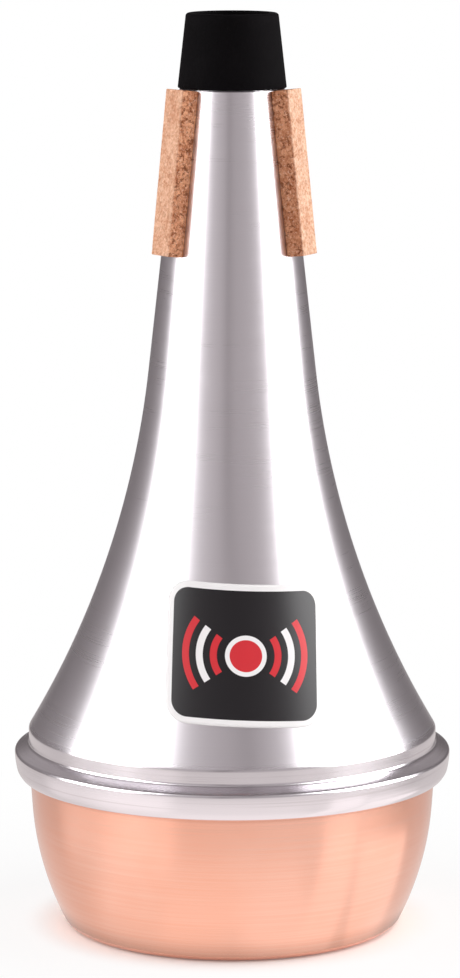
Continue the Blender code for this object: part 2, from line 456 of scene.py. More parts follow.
@dataclass(frozen=True)
class Cork:
    """Pressed cork: pale granules with brown seams between them and dark specks on the cut sides.

    The attribute "side" tells the cut sides, 1, from the face, 0. The cut sides are darker, partly
    as cut cork is and partly as painted shade, and a strip can have more painted shade on them.
    """

    pale: Colour = (0.90, 0.565, 0.39)
    tan: Colour = (0.62, 0.275, 0.155)
    # The cut sides' colours: darker than the face, partly as cut cork is and partly as painted shade.
    cut_pale_and_shade: Colour = (0.86, 0.435, 0.25)
    cut_tan_and_shade: Colour = (0.38, 0.12, 0.052)
    fleck: Colour = (0.93, 0.66, 0.50)
    speck: Colour = (0.17, 0.047, 0.019)
    # Painted shade for a strip's cut sides: a darker brown, and how much of it is mixed in.
    painted_cut_shade_colour: Colour = (0.32, 0.105, 0.045)
    painted_cut_shade: float = 0.0
    shine: float = 0.12
    granule: float = 1.3 * MM
    drift: float = 1.1 * MM
    drift_scale: float = 1100.0
    grain_scale: float = 1350.0
    fine_scale: float = 5200.0
    pit_scale: float = 900.0
    fleck_scale: float = 1600.0
    cloud_scale: float = 210.0
    relief: float = 0.16 * MM

    def _bent(self, graph: Graph, place: Wire) -> Wire:
        """The place moved by a noise, so that what is read there has wavy borders.

        Args:
            graph: The graph of the material.
            place: The point.

        Returns:
            The point with its drift.
        """
        noise = {"Vector": place, "Scale": self.drift_scale}
        way = graph.node("ShaderNodeTexNoise", None, noise, out="Color")
        drift = graph.node("ShaderNodeVectorMath", {"operation": "SCALE"}, {0: way, "Scale": self.drift})
        return graph.node("ShaderNodeVectorMath", {"operation": "ADD"}, {0: place, 1: drift})

    def material(self) -> bpy.types.Material:
        """Writes the node tree.

        Returns:
            The material.
        """
        material, graph = new_material("pressed_cork")
        place = graph.place()
        side = graph.node("ShaderNodeAttribute", {"attribute_name": "side"}, out="Fac")
        bent = self._bent(graph, place)
        cells = {"Vector": bent, "Scale": 1.0 / self.granule, "Randomness": 1.0}
        tone = graph.node("ShaderNodeTexVoronoi", {"feature": "F1"}, cells, out="Color")
        tone_value, tone_other, _ = graph.split(tone)
        grain = graph.noise(place, self.grain_scale, 4.0, 0.62)
        fine = graph.noise(place, self.fine_scale, 2.0, 0.6)
        pit = graph.noise(bent, self.pit_scale, 3.0, 0.6)
        cloud = graph.noise(place, self.cloud_scale, 2.0)
        pale_bits = graph.noise(bent, self.fleck_scale, 2.0, 0.5).rise(0.57, 0.68)
        dark = (pit + tone_other * 0.14).rise(0.61, 0.71)
        mottle = grain.rise(0.36, 0.64) * 0.6 + tone_value * 0.4 + cloud.rise(0.3, 0.7) * 0.25
        mottle = mottle + fine * 0.2 - 0.23
        face = graph.mix(mottle, self.pale, self.tan)
        # The cut sides: colours that are partly painted shade, with a share of further painted shade over
        # them.
        cut = graph.mix(self.painted_cut_shade, graph.mix(mottle, self.cut_pale_and_shade, self.cut_tan_and_shade), self.painted_cut_shade_colour)
        colour = graph.mix(side, face, cut)
        colour = graph.mix(pale_bits * (side * 0.15 + 0.25), colour, self.fleck)
        colour = graph.mix(dark * (side * 0.66 + 0.14), colour, self.speck)
        height = grain * 0.6 + fine * 0.15 - dark * 0.6
        graph.principled({
            "Base Color": colour,
            "Roughness": grain * 0.12 + 0.80,
            "Specular IOR Level": self.shine,
            "Normal": graph.bump(height, self.relief, 0.8),
        })
        return material


@dataclass(frozen=True)
class PrintedVinyl:
    """A printed sticker: a white edge round a black field, with arcs that spread from a disc.

    The print is drawn from the UV map, whose unit is a metre from the sticker's centre.
    """

    width: float
    height: float
    corner: float
    white: Colour = (0.90, 0.885, 0.885)
    black: Colour = (0.010, 0.008, 0.010)
    red: Colour = (0.66, 0.030, 0.040)
    shine: float = 0.4
    edge: float = 1.9 * MM
    blur: float = 0.12 * MM
    disc: float = 4.6 * MM
    disc_rim: float = 1.3 * MM
    arc_width: float = 2.0 * MM
    arc_radii: tuple[float, ...] = (9.2 * MM, 13.2 * MM, 17.2 * MM)
    arc_spread: float = 0.62
    grain_scale: float = 900.0
    grain_depth: float = 0.01 * MM

    def _within(self, distance: Wire) -> Wire:
        """1 where a signed distance is below 0, with a soft edge."""
        return distance.rise(self.blur / 2, -self.blur / 2)

    def _panel(self, x: Wire, y: Wire, inset: float) -> Wire:
        """1 inside the sticker's outline drawn in: a rectangle with round corners.

        Args:
            x: The distance to the right of the centre.
            y: The distance above the centre.
            inset: How far the outline is drawn in.

        Returns:
            1 inside, 0 outside.
        """
        corner = self.corner - inset
        over_x = (abs(x) - (self.width / 2 - inset - corner)).at_least(0.0)
        over_y = (abs(y) - (self.height / 2 - inset - corner)).at_least(0.0)
        return self._within((over_x**2.0 + over_y**2.0) ** 0.5 - corner)

    def material(self) -> bpy.types.Material:
        """Writes the node tree.

        Returns:
            The material.
        """
        material, graph = new_material("printed_vinyl")
        x, y, _ = graph.split(graph.laid())
        radius = (x * x + y * y) ** 0.5
        wedge = self._within(abs(y) - abs(x) * math.tan(self.arc_spread))
        colour = graph.mix(self._panel(x, y, self.edge), self.white, self.black)
        for arc, print_colour in zip(self.arc_radii, (self.red, self.white, self.red)):
            band = self._within(abs(radius - arc) - self.arc_width / 2) * wedge
            colour = graph.mix(band, colour, print_colour)
        colour = graph.mix(self._within(radius - self.disc - self.disc_rim), colour, self.white)
        colour = graph.mix(self._within(radius - self.disc), colour, self.red)
        grain = graph.noise(graph.place(), self.grain_scale, 2.0)
        graph.principled({
            "Base Color": colour,
            "Roughness": grain * 0.08 + 0.30,
            "Specular IOR Level": self.shine,
            "Normal": graph.bump(grain, self.grain_depth),
        })
        return material


# Sections and surfaces


@dataclass(frozen=True)
class Corner:
    """A corner of a section: its radius and height, and the bend that rounds it."""

    r: float
    z: float
    bend: float = 0.0

    def point(self) -> Array:
        """The corner as (radius, height)."""
        return np.array((self.r, self.z))


def turned_by(flat: Array, angle: Array | float) -> Array:
    """Points of a plane turned about its origin: (x cos a - y sin a, x sin a + y cos a).

    Args:
        flat: The points, with x and y along the last axis.
        angle: The angle for each point, or one for all.

    Returns:
        The turned points.
    """
    x, y = flat[..., 0], flat[..., 1]
    cos, sin = np.cos(angle), np.sin(angle)
    return np.stack((x * cos - y * sin, x * sin + y * cos), axis=-1)


def bent_line(corners: Sequence[Corner], turn_step: float = 0.11) -> Array:
    """The line through corners, each rounded by an arc that touches both of its sides.

    The arc's centre lies on the bisector at bend / cos(turn / 2) from the corner, and its ends lie
    at bend * tan(turn / 2) along the sides. A short lead outside each end stands one more point, so
    that smooth shading stays inside the bend.

    Args:
        corners: The corners in order.
        turn_step: The turn between two points of an arc, in radians.

    Returns:
        The line's points, one (radius, height) a row.
    """
    pieces = [corners[0].point()[None, :]]
    for before, corner, after in zip(corners, corners[1:], corners[2:]):
        here = corner.point()
        back = before.point() - here
        ahead = after.point() - here
        back, ahead = back / np.linalg.norm(back), ahead / np.linalg.norm(ahead)
        turn = math.pi - math.acos(float(np.clip(back @ ahead, -1.0, 1.0)))
        if corner.bend == 0.0 or turn < 1e-3:
            pieces.append(here[None, :])
            continue
        reach = corner.bend * math.tan(turn / 2)
        bisector = (back + ahead) / np.linalg.norm(back + ahead)
        centre = here + bisector * corner.bend / math.cos(turn / 2)
        start = here + back * reach - centre
        side = 1.0 if start[0] * (here - centre)[1] - start[1] * (here - centre)[0] > 0 else -1.0
        turned = turned_by(start, side * np.linspace(0.0, turn, max(3, math.ceil(turn / turn_step) + 1)))
        out = reach + min(LEAD_SHARE * corner.bend, LONGEST_LEAD)
        pieces += [(here + back * out)[None, :], centre + turned, (here + ahead * out)[None, :]]
    pieces.append(corners[-1].point()[None, :])
    return np.concatenate(pieces)


def parallel(line: Array, distance: float) -> Array:
    """The line moved sideways, to the left of its direction, with mitred corners.

    At each point the unit normals of the two sides are averaged, and the average is stretched by
    the inverse of its own squared length, which is what a mitre needs.

    Args:
        line: The points of the line.
        distance: How far it is moved.

    Returns:
        As many points as the line has.
    """
    ways = np.diff(line, axis=0)
    ways /= np.linalg.norm(ways, axis=1, keepdims=True)
    normals = np.stack((-ways[:, 1], ways[:, 0]), axis=1)
    mean = (np.vstack((normals[:1], normals)) + np.vstack((normals, normals[-1:]))) / 2
    return line + mean * distance / np.sum(mean**2, axis=1, keepdims=True)


def filled_in(line: Array, longest: float) -> Array:
    """The line with points added so that no side is longer than a limit.

    Args:
        line: The points of the line.
        longest: The longest side that may stay.

    Returns:
        The line with its own points and the added ones.
    """
    sides = np.linalg.norm(np.diff(line, axis=0), axis=1)
    counts = np.maximum(1, np.ceil(sides / longest).astype(int))
    ends = np.concatenate(([0], np.cumsum(counts)))
    where = np.arange(ends[-1] + 1)
    return np.stack([np.interp(where, ends, line[:, axis]) for axis in (0, 1)], axis=1)


def run_of(line: Array) -> Array:
    """The distance along a line at each of its points."""
    return np.concatenate(([0.0], np.cumsum(np.linalg.norm(np.diff(line, axis=0), axis=1))))


def drawn_in(core: Array, off: Array, radius: float) -> Array:
    """Rounds an outline's corners: each point ends at most a radius from its nearest core point.

    Args:
        core: The nearest point of the outline's core to each point.
        off: The way from there to the point.
        radius: The corners' radius.

    Returns:
        The rounded outline.
    """
    size = np.linalg.norm(off, axis=1, keepdims=True)
    return core + off * np.where(size > radius, radius / np.maximum(size, 1e-12), 1.0)


def value_noise(points: Array, cell: float, seed: int) -> Array:
    """Smooth noise of 0 to 1: each corner of a cubic grid has a hashed value, blended in between.

    Args:
        points: Where it is read, (..., 3).
        cell: The side of a grid cell.
        seed: Which of many like fields it is.

    Returns:
        The noise at each point.
    """
    scaled = points / cell
    base = np.floor(scaled)
    part = scaled - base
    part = part * part * (3.0 - 2.0 * part)
    total = np.zeros(points.shape[:-1])
    for corner in np.ndindex(2, 2, 2):
        near = base + np.array(corner)
        key = near @ np.array((127.1, 311.7, 74.7)) + 19.19 * seed
        value = np.modf(np.abs(np.sin(key) * 43758.5453))[0]
        weight = np.prod(np.where(np.array(corner) == 1, part, 1.0 - part), axis=-1)
        total += value * weight
    return total


@dataclass
class RingSurface:
    """A surface of closed rings one after another, given as a grid of points.

    Attributes:
        rings: The points, (rings, points in a ring, 3).
        uv: The point on the UV map for each, (rings, points in a ring, 2).
        looped: Whether the last ring joins the first.
        first_pole: The point that closes the first ring, if one does.
        last_pole: The point that closes the last ring, if one does.
        uv_turn: What the map's first value gains in one turn of a ring.
        uv_loop: What the map's second value gains from the last ring to the first.
    """

    rings: Array
    uv: Array
    looped: bool = False
    first_pole: Array | None = None
    last_pole: Array | None = None
    uv_turn: float = 0.0
    uv_loop: float = 0.0

    def _quads(self) -> tuple[NDArray[np.int64], Array]:
        """Joins each ring to the next, and each point to the one beside it.

        Returns:
            The quads, and the map's points at their corners.
        """
        count, across = self.rings.shape[:2]
        steps = count if self.looped else count - 1
        row, column = np.meshgrid(np.arange(steps), np.arange(across), indexing="ij")
        corners = []
        maps = []
        for down, along in ((0, 0), (0, 1), (1, 1), (1, 0)):
            r, c = row + down, column + along
            corners.append((r % count) * across + c % across)
            turned = np.stack((self.uv_turn * (c // across), self.uv_loop * (r // count)), axis=-1)
            maps.append(self.uv[r % count, c % across] + turned)
        quads = np.stack(corners, axis=-1).reshape(-1, 4)
        return quads, np.stack(maps, axis=2).reshape(-1, 4, 2)

    def _fan(self, ring: int, pole: int) -> tuple[NDArray[np.int64], Array]:
        """Joins an end ring to its pole.

        Args:
            ring: 0 for the first ring or -1 for the last.
            pole: The pole's number among the points.

        Returns:
            The triangles, and the map's points at their corners.
        """
        across = self.rings.shape[1]
        column = np.arange(across)
        start = (ring % len(self.rings)) * across
        first, second = start + column, start + (column + 1) % across
        if ring != 0:
            first, second = second, first
        triangles = np.stack((np.full(across, pole), second, first), axis=-1)
        uv = self.uv.reshape(-1, 2)
        middle = uv[start : start + across].mean(axis=0)
        maps = np.stack((np.broadcast_to(middle, (across, 2)), uv[second], uv[first]), axis=1)
        return triangles, maps

    def build(self, name: str, attributes: Mapping[str, Array] | None = None) -> bpy.types.Object:
        """Makes the mesh and its object, smooth, with its faces out.

        Args:
            name: The object's name.
            attributes: Numbers to keep at the points, one array of the grid's shape for each name.

        Returns:
            The object, at the origin, in the scene.
        """
        points = self.rings.reshape(-1, 3)
        quads, maps = self._quads()
        faces: list[list[int]] = quads.tolist()
        uvs = [maps.reshape(-1, 2)]
        flat = [quads[:, [0, 1, 2]], quads[:, [0, 2, 3]]]
        for ring, pole in ((0, self.first_pole), (-1, self.last_pole)):
            if pole is not None:
                fan, fan_maps = self._fan(ring, len(points))
                points = np.vstack((points, pole))
                faces += fan.tolist()
                uvs.append(fan_maps.reshape(-1, 2))
                flat.append(fan)
        triangles = np.concatenate(flat)
        a, b, c = (points[triangles[:, k]] for k in range(3))
        mesh = bpy.data.meshes.new(name)
        mesh.from_pydata(points.tolist(), [], faces)
        layer = mesh.uv_layers.new(name="laid")
        layer.data.foreach_set("uv", np.concatenate(uvs).ravel())
        if float(np.einsum("ij,ij->i", a, np.cross(b, c)).sum()) < 0.0:
            mesh.flip_normals()
        for label, values in (attributes or {}).items():
            kept = np.concatenate((values.ravel(), np.zeros(len(points) - values.size)))
            mesh.attributes.new(label, "FLOAT", "POINT").data.foreach_set("value", kept)
        mesh.shade_smooth()
        made = bpy.data.objects.new(name, mesh)
        bpy.context.scene.collection.objects.link(made)
        return made


def full_turn(count: int) -> Array:
    """Angles spread evenly over one turn, from 0 on."""
    return np.linspace(0.0, math.tau, count, endpoint=False)


def round_axis(radius: Array, angle: Array, level: Array) -> Array:
    """The points (r sin a, -r cos a, z), whose angle a runs from the front towards +X.

    Args:
        radius: The distances r from the axis.
        angle: The angles a, in radians.
        level: The heights z.

    Returns:
        The points, in the shape that the three make together.
    """
    return np.stack(np.broadcast_arrays(radius * np.sin(angle), -radius * np.cos(angle), level), axis=-1)


def turned_surface(section: Array, looped: bool, turns: int) -> RingSurface:
    """The surface that a section sweeps round the axis.

    Where the section isn't looped, its two ends lie on the axis and become poles. The map holds the
    share of the turn and the distance along the section.

    Args:
        section: The (radius, height) points.
        looped: Whether the section is a closed loop clear of the axis.
        turns: How many points a ring has.

    Returns:
        The surface.
    """
    run = run_of(np.vstack((section, section[:1])) if looped else section)
    body = section if looped else section[1:-1]
    along = run[:-1] if looped else run[1:-1]
    angle = full_turn(turns)
    rings = round_axis(body[:, :1], angle, body[:, 1:])
    uv = np.stack(np.broadcast_arrays(angle / math.tau, along[:, None]), axis=-1)
    if looped:
        return RingSurface(rings, uv, looped=True, uv_turn=1.0, uv_loop=float(run[-1]))
    poles = [np.array(((0.0, 0.0, section[end, 1]),)) for end in (0, -1)]
    return RingSurface(rings, uv, first_pole=poles[0], last_pole=poles[1], uv_turn=1.0)


# The mute's sub-assemblies


@dataclass(frozen=True)
class ConeLine:
    """The cone's outer face: a straight taper down from the sleeve's foot, then one arc to the collar.

    Attributes:
        neck: The radius at the sleeve's foot.
        foot: The height of the sleeve's foot.
        taper: The taper's angle from the axis.
        straight: The height of the straight taper.
        mouth: The radius at the collar's top.
        collar_top: The height of the collar's top.
    """

    neck: float
    foot: float
    taper: float
    straight: float
    mouth: float
    collar_top: float

    @property
    def joint(self) -> Array:
        """Where the taper passes into the arc."""
        return np.array((self.neck + self.straight * math.tan(self.taper), self.foot - self.straight))

    @property
    def arc(self) -> tuple[float, float]:
        """The arc from the joint to the collar, whose chord turns from the taper by half of its turn.

        Returns:
            The arc's radius and its turn.
        """
        chord = np.array((self.mouth, self.collar_top)) - self.joint
        half = math.atan2(chord[0], -chord[1]) - self.taper
        return float(np.linalg.norm(chord)) / (2 * math.sin(half)), 2 * half

    def at(self, run: Array, lift: Array | float = 0.0) -> Array:
        """Points at distances along the face, lifted off it along its normal.

        Args:
            run: Distances down the face from the sleeve's foot.
            lift: How far out from the face.

        Returns:
            The (radius, height) points.
        """
        radius, _ = self.arc
        straight_run = self.straight / math.cos(self.taper)
        past = np.maximum(run - straight_run, 0.0)
        before = np.minimum(run - straight_run, 0.0)
        slope = self.taper + past / radius
        r = self.joint[0] + before * math.sin(self.taper) + radius * (math.cos(self.taper) - np.cos(slope))
        z = self.joint[1] - before * math.cos(self.taper) - radius * (np.sin(slope) - math.sin(self.taper))
        return np.stack((r + lift * np.cos(slope), z + lift * np.sin(slope)), axis=-1)

    def run_at(self, level: float) -> float:
        """How far along the face a height on its arc lies.

        Args:
            level: The height.

        Returns:
            The distance down the face from the sleeve's foot.
        """
        radius, _ = self.arc
        slope = math.asin(math.sin(self.taper) + (self.joint[1] - level) / radius)
        return self.straight / math.cos(self.taper) + radius * (slope - self.taper)

    def flare(self, steps: int) -> Array:
        """The arc's points, with the joint and the collar's top.

        Args:
            steps: The sides between them.

        Returns:
            The (radius, height) points.
        """
        radius, turn = self.arc
        start = self.straight / math.cos(self.taper)
        return self.at(start + np.linspace(0.0, radius * turn, steps + 1))


@dataclass
class Piece:
    """What each sub-assembly has: its CAD node, its slot in the record and its finish."""

    node: str
    slot: str

    def dress(self, made: bpy.types.Object, material: bpy.types.Material) -> None:
        """Gives an object its material and body, and hides the CAD node that it stands for.

        Args:
            made: The object.
            material: Its finish.
        """
        made.data.materials.append(material)
        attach(made, BODY)
        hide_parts(self.node)
        LOG.info("%s: %d points", made.name, len(made.data.vertices))


@dataclass
class ConeShell(Piece):
    """The aluminium shell: spigot, taper, flare, collar, flange, bead and tucked edge, as one sheet.

    Attributes:
        belly: The bead's corners from its top edge down: how far in from its greatest radius and how
            far above its underside each lies, and its bend.
    """

    line: ConeLine
    bead_radius: float
    bead_level: float
    collar_foot: float
    mouth: float
    spigot_height: float
    sheet: float = 1.0 * MM
    joggle: float = 0.9 * MM
    ledge: float = 1.6 * MM
    seam_gap: float = 0.3 * MM
    shoulder_bend: float = 1.8 * MM
    fold_bend: float = 1.0 * MM
    fold_lift: float = 0.15 * MM
    edge_bend: float = 1.05 * MM
    edge_drop: float = 1.7 * MM
    belly: tuple[tuple[float, float, float], ...] = (
        (0.1 * MM, 5.3 * MM, 18.0 * MM),
        (0.7 * MM, 2.0 * MM, 3.6 * MM),
        (1.7 * MM, 0.6 * MM, 1.6 * MM),
    )
    tuck_drop: float = 0.45 * MM
    tuck_height: float = 5.0 * MM
    rolled_rise: float = 1.9 * MM
    flare_steps: int = 48
    longest_side: float = 2.6 * MM
    turns: int = 240

    def _spigot(self, slant: float) -> list[Corner]:
        """The spigot's cut edge and the ledge under the sleeve.

        Args:
            slant: How far above and below the sleeve's foot the ledge's slope reaches.

        Returns:
            The corners, from the cut edge down.
        """
        foot = self.line.foot
        radius = self.line.neck - self.joggle
        slope = math.tan(self.line.taper)
        bend = max(0.12 * MM, 0.8 * slant)
        return [
            Corner(radius - self.spigot_height * slope, foot + self.spigot_height),
            Corner(radius - slant * slope, foot + slant, bend),
            Corner(self.line.neck + slant * slope, foot - slant, bend),
        ]

    def _sheet_line(self, slant: float) -> Array:
        """The outer line of the sheet, from the cut edge to the tucked edge.

        Args:
            slant: How far the ledge's slope reaches each way.

        Returns:
            The (radius, height) points.
        """
        tuck = self.mouth + self.seam_gap
        flare = [Corner(float(r), float(z)) for r, z in self.line.flare(self.flare_steps)]
        corners = [
            *self._spigot(slant),
            *flare[:-1],
            Corner(flare[-1].r, flare[-1].z, self.shoulder_bend),
            Corner(self.mouth, self.collar_foot + self.fold_lift, self.fold_bend),
            Corner(self.bead_radius, self.collar_foot - self.edge_drop, self.edge_bend),
            *[Corner(self.bead_radius - r, self.bead_level + z, bend) for r, z, bend in self.belly],
            Corner(tuck, self.bead_level - self.tuck_drop, self.edge_bend),
            Corner(tuck, self.bead_level + self.tuck_height),
        ]
        return filled_in(bent_line(corners), self.longest_side)

    def section(self) -> Array:
        """The closed section of the sheet: the outer line, then its parallel back again.

        The inner line has a slanting ledge, because a sharp one would fold over itself there.

        Returns:
            The (radius, height) points.
        """
        inner = parallel(self._sheet_line(self.ledge), -self.sheet)
        return np.vstack((self._sheet_line(0.0), inner[::-1]))

    def build(self) -> None:
        """Makes the shell and dresses it."""
        made = turned_surface(self.section(), True, self.turns).build("aluminium_cone")
        self.dress(made, BrushedAluminium(self.line.collar_top + self.rolled_rise).material())


@dataclass
class BaseCup(Piece):
    """The copper cup: standing face, curved wall, straight wall, flange and hook, as one sheet."""

    mouth: float
    bead_level: float
    flange_top: float
    foot_radius: float = 48.2 * MM
    corner: float = 4.3 * MM
    corner_top: float = 2.6 * MM
    wall_taper: float = math.radians(3.9)
    curve_height: float = 35.0 * MM
    curve_steps: int = 24
    sheet: float = 0.8 * MM
    hook_inside: float = 60.9 * MM
    hook_drop: float = 5.5 * MM
    hook_bend: float = 0.5 * MM
    seam_entry: float = 5.0 * MM
    longest_side: float = 1.6 * MM
    turns: int = 288

    def _curve(self) -> Array:
        """The wall's arc, which leaves the straight wall at its taper and ends at the foot's corner.

        Its chord turns from the taper by half of the arc's turn, and a point at a share of the turn
        lies at the chord of that share.

        Returns:
            The (radius, height) points from the top, without the last.
        """
        drop = self.bead_level + self.seam_entry - self.curve_height
        start = np.array((self.mouth - drop * math.tan(self.wall_taper), self.curve_height))
        chord = np.array((self.foot_radius, 0.0)) - start
        half = math.atan2(chord[0], -chord[1]) + self.wall_taper
        radius = float(np.linalg.norm(chord)) / (2 * math.sin(half))
        share = half * np.linspace(0.0, 1.0, self.curve_steps + 1)[:-1]
        reach = 2 * radius * np.sin(share)
        heading = share - self.wall_taper
        return start + np.stack((reach * np.sin(heading), -reach * np.cos(heading)), axis=1)

    def section(self) -> Array:
        """The open section of the sheet, from the axis out and back to the axis.

        Returns:
            The (radius, height) points.
        """
        under = self.flange_top - self.sheet
        corners = [
            Corner(0.0, 0.0),
            Corner(self.foot_radius, 0.0, self.corner),
            *[Corner(float(r), float(z)) for r, z in self._curve()[::-1] if z > self.corner_top],
            Corner(self.mouth, self.bead_level + self.seam_entry),
            Corner(self.mouth, under, self.hook_bend),
            Corner(self.hook_inside, under, self.hook_bend),
            Corner(self.hook_inside, self.flange_top - self.hook_drop),
        ]
        outer = filled_in(bent_line(corners), self.longest_side)
        inner = parallel(outer, self.sheet)
        inner[0, 0] = 0.0
        return np.vstack((outer, inner[::-1]))

    def build(self) -> None:
        """Makes the cup and dresses it."""
        made = turned_surface(self.section(), False, self.turns).build("copper_cup")
        self.dress(made, SpunCopper(self.bead_level).material())


@dataclass
class EndSleeve(Piece):
    """The black sleeve round the spigot, with a lip over the cone's cut edge."""

    line: ConeLine
    top: float
    joggle: float = 0.9 * MM
    gap: float = 0.3 * MM
    wall: float = 1.2 * MM
    lip: float = 1.8 * MM
    bore: float = 10.91 * MM
    foot_bend: float = 0.25 * MM
    foot_inset: float = 0.3 * MM
    top_bend: float = 1.0 * MM
    mouth_bend: float = 0.5 * MM
    longest_side: float = 1.0 * MM
    turns: int = 192

    def section(self) -> Array:
        """The closed section: up the outside, over the lip, down the bore and the inner wall.

        Returns:
            The (radius, height) points.
        """
        slope = math.tan(self.line.taper)
        foot = self.line.foot + self.gap
        inside = self.line.neck - self.joggle + self.gap / math.cos(self.line.taper)
        outside = inside + self.wall
        under = self.top - self.lip
        start = Corner(inside + 0.4 * self.wall, foot)
        corners = [
            start,
            Corner(outside - self.foot_inset * slope, foot, self.foot_bend),
            Corner(outside - (self.top - self.line.foot) * slope, self.top, self.top_bend),
            Corner(self.bore, self.top, self.mouth_bend),
            Corner(self.bore, under),
            Corner(inside - (under - self.line.foot) * slope, under),
            Corner(inside, foot),
            start,
        ]
        return filled_in(bent_line(corners), self.longest_side)[:-1]

    def build(self) -> None:
        """Makes the sleeve and dresses it."""
        made = turned_surface(self.section(), True, self.turns).build("black_sleeve")
        self.dress(made, SleeveRubber().material())


class Side(Enum):
    """Where a cork strip sits: its azimuth in degrees from the front towards +X."""

    LEFT = -54.5
    RIGHT = 61.5
    BACK = 183.5


@dataclass
class CorkStrip(Piece):
    """A square-cut cork strip with a flat face, hollowed to the cone that it is glued to.

    Attributes:
        gap: How far the solid strip stands off the cone and the sleeve.
        seat: How far this one does.
        edge: The radius of its worn edges.
        cap_rings: The rings on each end face.
        cap_core: The scale of the innermost of them.
        edge_rings: The rings round each end's worn edge.
        cut_depth: How far under the face the look of the cut sides is complete.
        pit_cells: The cells of the two noises that make pits where both are high.
        pit_from: Their product where a pit begins.
        pit_fade: How much higher it is where the pit has its full depth.
        pit_depth: That depth.
        chip_cell: The cell of the noise that makes the fine chips.
        chip_depth: The depth of the deepest chips.
        face_relief: The share of those depths that the face has.
    """

    line: ConeLine
    side: Side
    length: float = 46.8 * MM
    width: float = 8.2 * MM
    thickness: float = 4.8 * MM
    gap: float = 0.3 * MM
    seat: float = 0.04 * MM
    edge: float = 0.22 * MM
    around: int = 132
    along: int = 220
    cap_rings: int = 15
    cap_core: float = 0.08
    edge_rings: int = 5
    cut_depth: float = 0.5 * MM
    pit_cells: Span = (0.9 * MM, 1.9 * MM)
    pit_from: float = 0.42
    pit_fade: float = 0.25
    pit_depth: float = 0.22 * MM
    chip_cell: float = 0.45 * MM
    chip_depth: float = 0.07 * MM
    face_relief: float = 0.35

    def _outline(self) -> Array:
        """The section's outline: a rectangle with round corners.

        The share of the way round is spread evenly over the rectangle's rim, and each point is then
        drawn in to the corner's arc where it lies within an edge's width of a corner.

        Returns:
            The (across, lift) points.
        """
        half = self.width / 2
        low, high = self.seat, self.gap + self.thickness
        tall = high - low
        rim = 4 * half + 2 * tall
        way = np.linspace(0.0, rim, self.around, endpoint=False)
        ends = (0, 2 * half, 2 * half + tall, 4 * half + tall, rim)
        x = np.interp(way, ends, (-1, 1, 1, -1, -1)) * half
        y = low + np.interp(way, ends, (1, 1, 0, 0, 1)) * tall
        inner_x = np.clip(x, self.edge - half, half - self.edge)
        inner_y = np.clip(y, low + self.edge, high - self.edge)
        core = np.stack((inner_x, inner_y), axis=1)
        return drawn_in(core, np.stack((x, y), axis=1) - core, self.edge)

    def _rings(self) -> tuple[Array, Array, Array]:
        """Where each ring along the strip lies, from one end's middle over the body to the other's.

        At each end come the rings of the cap, which grow from its middle, and those of a quarter
        circle of the edge's size.

        Returns:
            The distance down the cone, how far the outline is drawn in, and its scale, for each ring.
        """
        start, end = self.seat, self.gap + self.length
        cap = np.zeros(self.cap_rings)
        turn = np.linspace(0.0, math.pi / 2, self.edge_rings)
        inset = self.edge * (1 - np.sin(turn))
        shift = self.edge * (1 - np.cos(turn))
        body = np.linspace(start + self.edge, end - self.edge, self.along)[1:-1]
        runs = np.concatenate((cap + start, start + shift, body, (end - shift)[::-1], cap + end))
        draw = np.concatenate((cap + self.edge, inset, np.zeros_like(body), inset[::-1], cap + self.edge))
        grow = np.linspace(self.cap_core, 1.0, self.cap_rings + 1)[:-1]
        scale = np.concatenate((grow, np.ones(len(runs) - 2 * len(grow)), grow[::-1]))
        return runs, draw, scale

    def _body(self, outline: Array) -> tuple[Array, Array]:
        """The strip's points before they turn to their azimuth, facing the front.

        Each ring is the outline drawn in and scaled about its middle. Its back follows the circle of
        the cone there, and its face stays flat.

        Args:
            outline: The (across, lift) outline of the section.

        Returns:
            The (x, y, z) points, and for each the share of the cut sides' look.
        """
        runs, draw, scale = self._rings()
        low, high = outline.min(axis=0), outline.max(axis=0)
        middle, reach = (high + low) / 2, (high - low) / 2
        drawn = (reach[None, :] - draw[:, None]) / reach[None, :] * scale[:, None]
        flat = middle + (outline - middle)[None, :, :] * drawn[:, None, :]
        across, lift = flat[..., 0], flat[..., 1]
        radius = self.line.at(runs)[:, 0][:, None]
        drop = np.sqrt(radius**2 - across**2) - radius
        hollow = (high[1] - lift) / (high[1] - low[1])
        bent = self.line.at(np.broadcast_to(runs[:, None], lift.shape), lift + drop * hollow)
        points = np.stack((across, -bent[..., 0], bent[..., 1]), axis=-1)
        return points, np.clip((high[1] - lift) / self.cut_depth, 0.0, 1.0)

    def _worn(self, points: Array, cut: Array) -> Array:
        """Presses pits and chips into the cork.

        Where two noises are both high, the point sinks towards the middle of its ring by the pit's
        depth, and a third noise makes the fine chips.

        Args:
            points: The strip's points.
            cut: The share of the cut sides' look at each.

        Returns:
            The points with their relief.
        """
        seed = 3 + len(self.side.name)
        small, large = self.pit_cells
        pits = value_noise(points, small, seed) * value_noise(points, large, seed + 1)
        chips = value_noise(points, self.chip_cell, seed + 2)
        depth = np.clip((pits - self.pit_from) / self.pit_fade, 0.0, 1.0) * self.pit_depth
        depth = depth + chips * self.chip_depth
        share = self.face_relief + (1.0 - self.face_relief) * cut
        inward = points.mean(axis=1, keepdims=True) - points
        inward /= np.maximum(np.linalg.norm(inward, axis=-1, keepdims=True), 1e-9)
        return points + inward * (depth * share)[..., None]

    def _finish(self) -> Cork:
        """The strip's cork: the right one has painted light on its face and painted shade on its cut sides.
        """
        if self.side is Side.RIGHT:
            # Painted light: a fairer face for the right strip, which its soft box lights more. Painted
            # shade: darker cut sides.
            return Cork(pale=(0.94, 0.65, 0.475), painted_cut_shade=0.35)
        return Cork()

